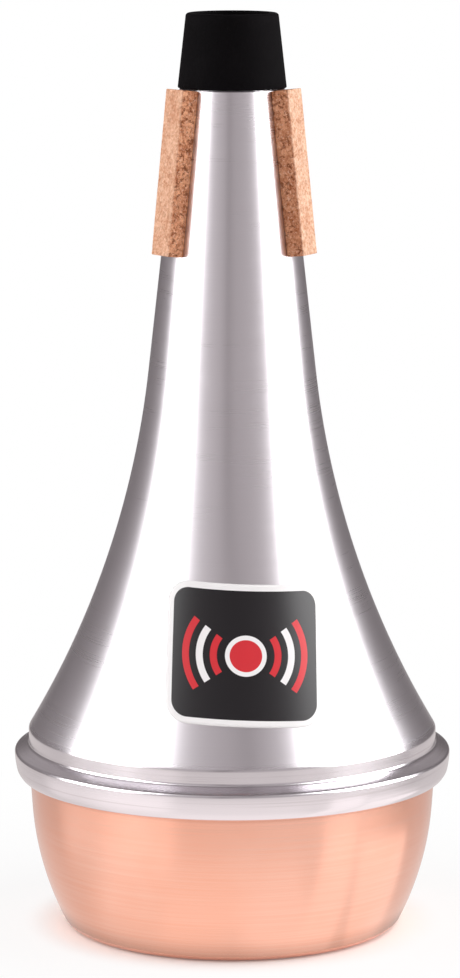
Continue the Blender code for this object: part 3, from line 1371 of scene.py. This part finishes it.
    def build(self) -> None:
        """Makes the strip and dresses it."""
        points, cut = self._body(self._outline())
        points = self._worn(points, cut)
        points[..., :2] = turned_by(points[..., :2], math.radians(self.side.value))
        poles = [points[end].mean(axis=0)[None, :] for end in (0, -1)]
        surface = RingSurface(points, points[..., :2], first_pole=poles[0], last_pole=poles[1])
        made = surface.build(f"cork_{self.side.name.lower()}", {"side": cut})
        self.dress(made, self._finish().material())


@dataclass
class Sticker(Piece):
    """The printed sticker, laid on the flare of the cone.

    Attributes:
        level: The height of its centre.
        azimuth: Where its centre lies, from the front towards +X.
        tilt: How far it is turned about its centre.
        lift: How far its back stands off the cone.
        edge: How far its printed face ends inside its outline.
        core: The share of the outline that the innermost ring has.
        rings: The rings of each of its two faces.
        around: The points in a ring.
    """

    line: ConeLine
    level: float = 87.5 * MM
    azimuth: float = math.radians(5.0)
    tilt: float = math.radians(-3.0)
    width: float = 46.0 * MM
    height: float = 41.0 * MM
    corner: float = 6.5 * MM
    lift: float = 0.05 * MM
    thickness: float = 0.14 * MM
    edge: float = 0.04 * MM
    core: float = 0.04
    rings: int = 26
    around: int = 240

    def _rim(self) -> Array:
        """The outline: points even in angle round the middle, drawn in to the rounded rectangle.

        Returns:
            The (across, up) points.
        """
        angle = full_turn(self.around)
        way = np.stack((np.cos(angle), np.sin(angle)), axis=1)
        half = np.array((self.width / 2, self.height / 2))
        to_side = way * (1.0 / np.max(np.abs(way) / half, axis=1, keepdims=True))
        core = np.clip(to_side, -half + self.corner, half - self.corner)
        return drawn_in(core, to_side - core, self.corner)

    def _laid(self, flat: Array, lift: Array) -> Array:
        """Lays points of the sticker's own plane on the cone.

        The plane is turned by the tilt, its height is measured along the cone's face from the
        centre, and its width along the circle at each height.

        Args:
            flat: The (across, up) points.
            lift: How far each stands off the cone.

        Returns:
            The (x, y, z) points.
        """
        tilted = turned_by(flat, self.tilt)
        section = self.line.at(self.line.run_at(self.level) - tilted[..., 1], lift)
        radius, level = section[..., 0], section[..., 1]
        return round_axis(radius, self.azimuth + tilted[..., 0] / radius, level)

    def build(self) -> None:
        """Makes the sticker and dresses it: rings out to the rim, over its edge and back underneath."""
        out = np.linspace(self.core, 1.0, self.rings)
        share = np.concatenate((out, out[::-1]))
        share[self.rings - 1] = 1.0 - self.edge / (self.height / 2)
        lift = self.lift + np.repeat((self.thickness, 0.0), self.rings)
        flat = self._rim()[None, :, :] * share[:, None, None]
        points = self._laid(flat, lift[:, None])
        poles = [self._laid(np.zeros((1, 2)), lift[[end]]) for end in (0, -1)]
        surface = RingSurface(points, flat, first_pole=poles[0], last_pole=poles[1])
        made = surface.build("front_sticker")
        self.dress(made, PrintedVinyl(self.width, self.height, self.corner).material())


# Studio


@dataclass(frozen=True)
class Viewpoint:
    """The photograph's camera: a long lens a little above the mute.

    Attributes:
        distance: How far in front of the axis it stands.
        height: How high it stands.
        aim: The height of the point on the axis that it looks at.
        lens: The focal length, in mm.
        sensor: The sensor's width, in mm.
        shift: How far the picture is shifted sideways, as a share of its longer side.
    """

    distance: float = 1.230
    height: float = 0.331
    aim: float = 0.12784
    lens: float = 158.67
    sensor: float = 36.0
    shift: float = -0.00225

    def build(self) -> None:
        """Makes the camera and gives it to the scene."""
        data = bpy.data.cameras.new("view")
        data.lens = self.lens
        data.sensor_width = self.sensor
        data.shift_x = self.shift
        data.clip_start, data.clip_end = 0.05, 60.0
        camera = bpy.data.objects.new("view", data)
        camera.location = (0.0, -self.distance, self.height)
        look = Vector((0.0, 0.0, self.aim)) - camera.location
        camera.rotation_euler = look.to_track_quat("-Z", "Y").to_euler()
        bpy.context.scene.collection.objects.link(camera)
        bpy.context.scene.camera = camera


def compass(graph: Graph) -> tuple[Wire, Wire, Wire]:
    """Tells the directions round the mute.

    Args:
        graph: The graph of a stage piece's material.

    Returns:
        The azimuth in degrees, 0 on the camera's side, then its size, then 1 on the right and 0 on
        the left.
    """
    x, y, _ = graph.spot()
    turn = graph.node("ShaderNodeMath", {"operation": "ARCTAN2"}, {0: x, 1: y * -1.0})
    azimuth = turn * math.degrees(1.0)
    return azimuth, abs(azimuth), x.rise(-0.001, 0.001)


@dataclass(frozen=True)
class SoftBox:
    """A soft box in one of the tent's sides.

    Attributes:
        level: Its brightness.
        near: The azimuth where it begins, in degrees.
        far: The azimuth where it ends.
        lean: How much lower its burnt-out part ends, with each degree towards far.
        lower: How much lower it ends, drawn back to the azimuth 0.
    """

    level: float
    near: float
    far: float
    lean: float = 0.0
    lower: float = 0.0


@dataclass(frozen=True)
class Walls:
    """The brightness of the tent's walls, from the camera's azimuth 0 to the far azimuth 180.

    Attributes:
        front: The brightness on the camera's side.
        front_edge: The brightness where a soft box begins.
        left: The left soft box.
        right: The right soft box.
        mirrored: How much brighter a soft box is as metal shows it, where it burns out.
        over: The brightness that metal shows above a soft box.
        glare_end: How far up a soft box's burnt-out part begins to end, and where it has ended.
        flank: The brightness just past a soft box.
        back: The brightness straight across from the camera.
        back_at: The azimuth where that brightness is reached.
        behind: What is added there higher up.
        behind_span: The azimuths between which it comes in.
        behind_foot: How far up the walls it begins, and where all of it is there.
        behind_top: How far up the walls it has ended, and where it begins to end.
        core: How much darker the camera's own place is.
        core_at: The azimuth of its middle at the walls' foot, and how far that moves at the top.
        core_rise: How far up the walls it begins to move, and where it has moved.
        core_blur: How far from its middle it has ended, and where it begins to end, in degrees.
        nearer: How far a soft box's near side leans towards the camera at the top, in degrees.
        farther: How far its far side leans back at the top, in degrees.
        blur: Half the width of a soft box's faded edge, in degrees.
    """

    front: float = 0.445
    front_edge: float = 0.58
    left: SoftBox = SoftBox(2.1, 52.5, 97.0, lean=0.004, lower=-0.2)
    right: SoftBox = SoftBox(2.9, 57.3, 106.0)
    mirrored: float = 2.4
    over: float = 0.5
    glare_end: Span = (0.90, 0.985)
    flank: float = 0.255
    back: float = 0.15
    back_at: float = 175.0
    behind: float = 0.2
    behind_span: Span = (130.0, 165.0)
    behind_foot: Span = (0.0, 0.25)
    behind_top: Span = (0.99, 0.94)
    core: float = 0.20
    core_at: Span = (-6.0, 18.0)
    core_rise: Span = (0.25, 0.9)
    core_blur: Span = (6.0, 2.0)
    nearer: float = 9.0
    farther: float = 14.0
    blur: float = 3.0

    def _side(self, graph: Graph, azimuth: Wire, tall: Wire, box: SoftBox) -> Wire:
        """The brightness round one side: before the soft box, in it, and behind it.

        Args:
            graph: The graph of the stage piece's material.
            azimuth: The azimuth's size, from 0 to 180 degrees.
            tall: How far up the walls the point is, from 0 to 1.
            box: The side's soft box.

        Returns:
            The brightness.
        """
        front = azimuth.rise(0.0, box.near) * (self.front_edge - self.front) + self.front
        higher = tall.rise(*self.behind_foot) * tall.rise(*self.behind_top)
        back = azimuth.rise(box.far, self.back_at) * (self.back - self.flank) + self.flank
        back = back + azimuth.rise(*self.behind_span) * higher * self.behind
        enter = (azimuth + tall * self.nearer).rise(box.near - self.blur, box.near + self.blur)
        leave = (azimuth - tall * self.farther).rise(box.far + self.blur, box.far - self.blur)
        burnt, ended = self.glare_end
        glare = (tall + azimuth * box.lean + box.lower).rise(ended, burnt)
        glare = glare * (self.mirrored * box.level - self.over) + self.over
        metal = graph.node("ShaderNodeLightPath", out="Is Glossy Ray")
        inside = enter * leave * (metal * (glare - box.level) + box.level)
        return front * (1.0 - enter) + back * (1.0 - leave) + inside

    def strength(self, graph: Graph, tall: Wire) -> Wire:
        """The brightness at each point of a stage piece, by its azimuth round the origin.

        Args:
            graph: The graph of the piece's material.
            tall: How far up the walls the point is, from 0 to 1.

        Returns:
            The brightness.
        """
        azimuth, size, to_right = compass(graph)
        left = self._side(graph, size, tall, self.left)
        right = self._side(graph, size, tall, self.right)
        middle, moved = self.core_at
        away = abs(azimuth - middle - tall.rise(*self.core_rise) * moved)
        core = away.rise(*self.core_blur) * self.core
        return left * (1.0 - to_right) + right * to_right - core


def beyond(line: Line, x: Wire, y: Wire) -> Wire:
    """How far a place on the table lies beyond a line (a, b, c): a x + b y + c.

    Args:
        line: The line's unit normal and its offset.
        x: The place to the right of the axis.
        y: The place behind the axis.

    Returns:
        The distance, below 0 on the line's near side.
    """
    across, ahead, offset = line
    return x * across + y * ahead + offset


@dataclass(frozen=True)
class Pool:
    """A soft box's pool of light on the table.

    Attributes:
        level: Its brightness beside the mute.
        gain: What it gains away from the mute.
        loss: What it loses far off.
        fades: Its losses towards the back: the azimuths between which each comes in, and its size.
    """

    level: float
    gain: float
    loss: float
    fades: tuple[tuple[Span, float], ...]

    def strength(self, size: Wire, out: Wire, far: Wire) -> Wire:
        """The brightness: the level with its gain and its losses.

        Args:
            size: The azimuth's size, in degrees.
            out: The share of the gain that is there.
            far: The share of the loss that is there.

        Returns:
            The brightness.
        """
        level = out * self.gain - far * self.loss + self.level
        for span, drop in self.fades:
            level = level - size.rise(*span) * drop
        return level


@dataclass(frozen=True)
class Table:
    """The brightness of the table as the metal shows it, by the place on the table.

    In front it falls off with the distance from the mute. Left and right lie the pools of the two
    soft boxes, and behind a line on each side the mute keeps their light off. The right pool holds
    two window panes. Next to the mute is its contact shade.

    Attributes:
        front: The brightness in front, drawn back to the axis.
        fall: What a metre takes off it.
        least: The least that is left.
        left: The left pool.
        right: The right pool.
        out: The distances between which the pools gain.
        far: The distances between which they lose.
        begins: The azimuths between which the left pool comes in.
        later: How much farther round the right one comes in, in degrees.
        shade: The line behind which the mute keeps the light off on the right, mirrored on the left.
        shade_blur: Half the width of its soft edge.
        shade_shift: How much farther forward it lies on the right.
        shade_turn: Half the width over which that shift comes in.
        shaded: The share that is left behind the line.
        shade_fade: How much of the shade is gone far off.
        pane: The brightness of the window panes, drawn back to the axis.
        pane_gain: What a metre adds to it.
        pane_start: The line where the panes begin.
        pane_end: The line where they end.
        pane_blur: Half the width of those lines' soft edges.
        pane_bar: The line between the two panes.
        pane_sides: How far beyond the bar each pane is 0 and 1.
        pane_reaches: How far from the axis each pane is 0 and 1.
        touching: The share that is left under the mute's edge.
        foot: Where the contact shade begins and ends.
    """

    front: float = 1.20
    fall: float = 1.6
    least: float = 0.58
    left: Pool = Pool(1.04, 0.14, 0.27, (((50.0, 76.0), 0.21), ((84.0, 106.0), 0.12)))
    right: Pool = Pool(0.98, -0.06, 0.13, (((68.0, 98.0), 0.28),))
    out: Span = (60.0 * MM, 160.0 * MM)
    far: Span = (170.0 * MM, 300.0 * MM)
    begins: Span = (22.0, 32.0)
    later: float = 4.0
    shade: Line = (0.467, -0.884, -53.0 * MM)
    shade_blur: float = 12.0 * MM
    shade_shift: float = 11.0 * MM
    shade_turn: float = 35.0 * MM
    shaded: float = 0.74
    shade_fade: float = 0.7
    pane: float = 1.06
    pane_gain: float = 1.4
    pane_start: Line = (0.566, 0.824, 29.2 * MM)
    pane_end: Line = (0.467, -0.884, -42.4 * MM)
    pane_blur: float = 3.0 * MM
    pane_bar: Line = (0.2656, 0.964, 31.3 * MM)
    pane_sides: tuple[Span, Span] = ((1.0 * MM, -2.0 * MM), (3.0 * MM, 6.0 * MM))
    pane_reaches: tuple[Span, Span] = ((172.0 * MM, 166.0 * MM), (146.0 * MM, 140.0 * MM))
    touching: float = 0.55
    foot: Span = (46.5 * MM, 56.0 * MM)

    def _panes(self, x: Wire, y: Wire, away: Wire) -> Wire:
        """1 in the two window panes, which three straight lines and two circles bound.

        Args:
            x: The place to the right of the axis.
            y: The place behind it.
            away: The distance from the axis.

        Returns:
            1 inside, 0 outside.
        """
        start = beyond(self.pane_start, x, y).rise(-self.pane_blur, self.pane_blur)
        end = beyond(self.pane_end, x, y).rise(-self.pane_blur, self.pane_blur)
        bar = beyond(self.pane_bar, x, y)
        ends = zip(self.pane_sides, self.pane_reaches)
        first, second = [bar.rise(*side) * away.rise(*reach) for side, reach in ends]
        return start * end * (first + second)

    def _lit(self, x: Wire, y: Wire) -> Wire:
        """1 where the soft boxes' light reaches the table and 0 behind the mute.

        Args:
            x: The place to the right of the axis.
            y: The place behind it.

        Returns:
            1 in the light, 0 in the shade.
        """
        shift = x.rise(-self.shade_turn, self.shade_turn) * self.shade_shift
        return (beyond(self.shade, abs(x), y) + shift).rise(-self.shade_blur, self.shade_blur)

    def strength(self, graph: Graph) -> Wire:
        """The brightness at each point of the table.

        Args:
            graph: The graph of the table's material.

        Returns:
            The brightness.
        """
        x, y, away = graph.spot()
        _, size, to_right = compass(graph)
        out, far = away.rise(*self.out), away.rise(*self.far)
        left = self.left.strength(size, out, far)
        right = self.right.strength(size, out, far)
        front = (self.front - away * self.fall).at_least(self.least)
        lit = self._lit(x, y)
        inside = (size - to_right * self.later).rise(*self.begins) * lit
        shade = 1.0 - (1.0 - lit) * (1.0 - self.shaded) * (1.0 - far * self.shade_fade)
        pool = left * (1.0 - to_right) + right * to_right
        level = (front + inside * (pool - front)) * shade
        panes = self._panes(x, y, away) * to_right
        contact = away.rise(*self.foot) * (1.0 - self.touching) + self.touching
        return (level + panes * (self.pane + away * self.pane_gain - level)) * contact


@dataclass(frozen=True)
class Studio:
    """A pale sweep under a light tent, whose two soft boxes stand left and right of the mute.

    Attributes:
        radius: The tent's radius.
        highest: The elevation of its last ring, in degrees.
        rings: Its rings.
        around: The points in a ring of the tent.
        walls: The brightness of the tent's walls.
        walls_span: The shares of the tent's height where its walls begin and end.
        lean: How much brighter the walls' upper part is on the left than on the right.
        top: The brightness of the tent's roof.
        roof: The elevations between which the walls pass into the roof, in degrees.
        table: The brightness of the table close by, as metal shows it.
        table_radii: The radii of the table's rings.
        table_around: The points in a ring of the table.
        table_level: The height of the table's glow over the floor.
        table_far: The distances between which the table passes into the walls.
        dim_tint: The tint of the tent's dark parts.
        tint_end: The brightness above which that tint is gone.
        table_tint: The tint of the table as metal shows it.
        floor: The floor's colour.
        sweep: How far the floor reaches from the mute.
        white: Where the floor turns plain white: the distances between which each share comes in.
        white_least: The share that is plain white next to the mute.
        ambient: The level of the world's light where nothing shows it.
    """

    radius: float = 1.6
    highest: float = 88.0
    rings: int = 16
    around: int = 48
    walls: Walls = Walls()
    walls_span: Span = (0.1, 0.9)
    lean: float = 0.2
    top: float = 0.20
    roof: Span = (62.0, 76.0)
    table: Table = Table()
    table_radii: tuple[float, ...] = (0.049, 0.06, 0.1, 0.2, 0.4, 0.8, 1.55)
    table_around: int = 96
    table_level: float = 0.1 * MM
    table_far: Span = (0.35, 1.2)
    dim_tint: Colour = (1.0, 0.88, 0.90)
    tint_end: float = 1.1
    table_tint: Colour = (1.0, 0.935, 0.918)
    floor: Colour = (0.93, 0.93, 0.93)
    sweep: float = 12.0
    white: tuple[tuple[Span, float], ...] = (
        ((47.0 * MM, 62.0 * MM), 0.78),
        ((60.0 * MM, 200.0 * MM), 0.14),
    )
    white_least: float = 0.08
    ambient: Colour = (0.8, 0.8, 0.8)

    def _seen(self, graph: Graph) -> Wire:
        """Tells the rays that show the background: the camera's and those that metal and glass send.

        Args:
            graph: The graph of a material or of the world.

        Returns:
            1 for such a ray.
        """
        rays = ("Is Camera Ray", "Is Glossy Ray", "Is Transmission Ray")
        camera, glossy, clear = [graph.node("ShaderNodeLightPath", out=ray) for ray in rays]
        return camera.at_least(glossy).at_least(clear)

    def _world(self) -> None:
        """A white background, and a plain level for what else reaches it."""
        world = bpy.data.worlds.new("studio")
        world.use_nodes = True
        graph = Graph(world.node_tree)
        colour = graph.mix(self._seen(graph), self.ambient, WHITE)
        light = graph.node("ShaderNodeBackground", None, {"Color": colour, "Strength": 1.0})
        graph.node("ShaderNodeOutputWorld", None, {"Surface": light})
        bpy.context.scene.world = world

    def _dim(self, graph: Graph, strength: Wire) -> Wire:
        """The tent's tint, which its dark parts have and its bright ones lose."""
        return graph.mix(strength / self.tint_end, self.dim_tint, WHITE)

    def _glow(
        self, made: bpy.types.Object, material: bpy.types.Material, strength: Wire, tint: Wire
    ) -> None:
        """Makes a stage piece glow, unseen by the camera itself.

        Args:
            made: The piece.
            material: The material that the two wires belong to.
            strength: Its brightness.
            tint: Its colour.
        """
        graph = strength.graph
        graph.surface(graph.node("ShaderNodeEmission", None, {"Color": tint, "Strength": strength}))
        made.data.materials.append(material)
        made.visible_camera = False

    def _floor(self) -> None:
        """A wide pale floor: near the mute it keeps the shadow, farther off it is plain white."""
        mesh = bpy.data.meshes.new("floor")
        reach = self.sweep
        corners = [(-reach, -reach, 0.0), (reach, -reach, 0.0), (reach, reach, 0.0), (-reach, reach, 0.0)]
        mesh.from_pydata(corners, [], [(0, 1, 2, 3)])
        floor = bpy.data.objects.new("floor", mesh)
        bpy.context.scene.collection.objects.link(floor)
        material, graph = new_material("pale_sweep")
        _, _, away = graph.spot()
        near, farther = [away.rise(*span) * share for span, share in self.white]
        white = (near + farther + self.white_least) * self._seen(graph)
        lit = graph.node("ShaderNodeBsdfDiffuse", None, {"Color": self.floor})
        plain = graph.node("ShaderNodeEmission", None, {"Color": WHITE, "Strength": 1.0})
        graph.surface(graph.node("ShaderNodeMixShader", None, {0: white, 1: lit, 2: plain}))
        mesh.materials.append(material)

    def _table(self) -> None:
        """A disc just over the floor that only metal shows: the soft boxes as the table returns them.

        Close to the mute it is in its shade, farther out it has the table's own brightness, and from
        there it passes over into the brightness of the walls.
        """
        across = np.array(self.table_radii)[:, None]
        rings = round_axis(across, full_turn(self.table_around), np.array(self.table_level))
        made = RingSurface(rings, rings[..., :2]).build("table_glow")
        material, graph = new_material("table_light")
        _, _, away = graph.spot()
        far = away.rise(*self.table_far)
        low = self.walls.strength(graph, away * 0.0)
        strength = self.table.strength(graph) * (1.0 - far) + low * far
        tint = graph.mix(far, self.table_tint, self._dim(graph, strength))
        self._glow(made, material, strength, tint)
        made.visible_diffuse = False
        made.visible_shadow = False

    def _tent(self) -> None:
        """A dome that lights the mute and shows in its metal, and that the camera looks through."""
        elevation = np.radians(np.linspace(0.0, self.highest, self.rings))[:, None]
        unit = round_axis(np.cos(elevation), full_turn(self.around), np.sin(elevation))
        rings = self.radius * unit
        pole = np.array(((0.0, 0.0, self.radius),))
        made = RingSurface(rings, rings[..., :2], last_pole=pole).build("light_tent")
        material, graph = new_material("tent_light")
        x, _, z = graph.split(graph.place())
        roof = (z / self.radius).rise(*[math.sin(math.radians(end)) for end in self.roof])
        lean = x * z * (self.lean / self.radius**2)
        tall = (z / self.radius).rise(*self.walls_span)
        strength = (self.walls.strength(graph, tall) - lean) * (1.0 - roof) + roof * self.top
        self._glow(made, material, strength, self._dim(graph, strength))

    def build(self) -> None:
        """Makes the floor, the tent and the background, and sets plain colours."""
        self._world()
        self._floor()
        self._table()
        self._tent()
        bpy.context.scene.view_settings.view_transform = "Standard"


@dataclass
class Mute:
    """The whole mute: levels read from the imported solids, shared out with the sizes below.

    Attributes:
        taper: The cone's angle from the axis.
        neck: The cone's radius at the sleeve's foot.
        straight: The height of its straight taper.
        collar_height: The height of the collar over its foot.
        bead_height: The height of the collar's foot over the bead's underside.
        bead_radius: The bead's greatest radius.
        mouth: The radius of the collar and of the cup's mouth.
        seam_gap: The gap between the sheets in the seam.
        spigot_height: How far the cone reaches up inside the sleeve.
        pieces: The sub-assemblies, once they are laid out.
    """

    taper: float = math.radians(6.42)
    neck: float = 15.0 * MM
    straight: float = 80.9 * MM
    collar_height: float = 4.6 * MM
    bead_height: float = 9.6 * MM
    bead_radius: float = 63.44 * MM
    mouth: float = 59.3 * MM
    seam_gap: float = 0.3 * MM
    spigot_height: float = 19.4 * MM
    pieces: list[Piece] = field(default_factory=list)

    def lay_out(self) -> None:
        """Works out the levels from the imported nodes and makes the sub-assemblies."""
        cone_low, cone_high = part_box("cone_shell")
        _, sleeve_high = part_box("end_sleeve")
        _, cup_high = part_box("base_cup")
        foot = cone_high.z - self.spigot_height
        collar_foot = cone_low.z + self.bead_height
        line = ConeLine(
            neck=self.neck,
            foot=foot,
            taper=self.taper,
            straight=self.straight,
            mouth=self.mouth,
            collar_top=collar_foot + self.collar_height,
        )
        self.pieces = [
            ConeShell(
                "cone_shell",
                "aluminium",
                line,
                bead_radius=self.bead_radius,
                bead_level=cone_low.z,
                collar_foot=collar_foot,
                mouth=self.mouth,
                spigot_height=self.spigot_height,
                seam_gap=self.seam_gap,
            ),
            BaseCup("base_cup", "copper", self.mouth, cone_low.z, cup_high.z),
            EndSleeve("end_sleeve", "sleeve_rubber", line, sleeve_high.z),
            *[CorkStrip(f"cork_strip_{side.name.lower()}", "cork", line, side) for side in Side],
            Sticker("sticker", "sticker_vinyl", line),
        ]

    def build(self) -> None:
        """Makes every sub-assembly in order."""
        for piece in self.pieces:
            piece.build()


def main() -> None:
    """Loads the frame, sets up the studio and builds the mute."""
    logging.basicConfig(level=logging.INFO, format="%(name)s: %(message)s")
    for leftover in list(bpy.context.scene.objects):
        bpy.data.objects.remove(leftover)
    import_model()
    Viewpoint().build()
    Studio().build()
    mute = Mute()
    mute.lay_out()
    mute.build()


if __name__ == "__main__":
    main()
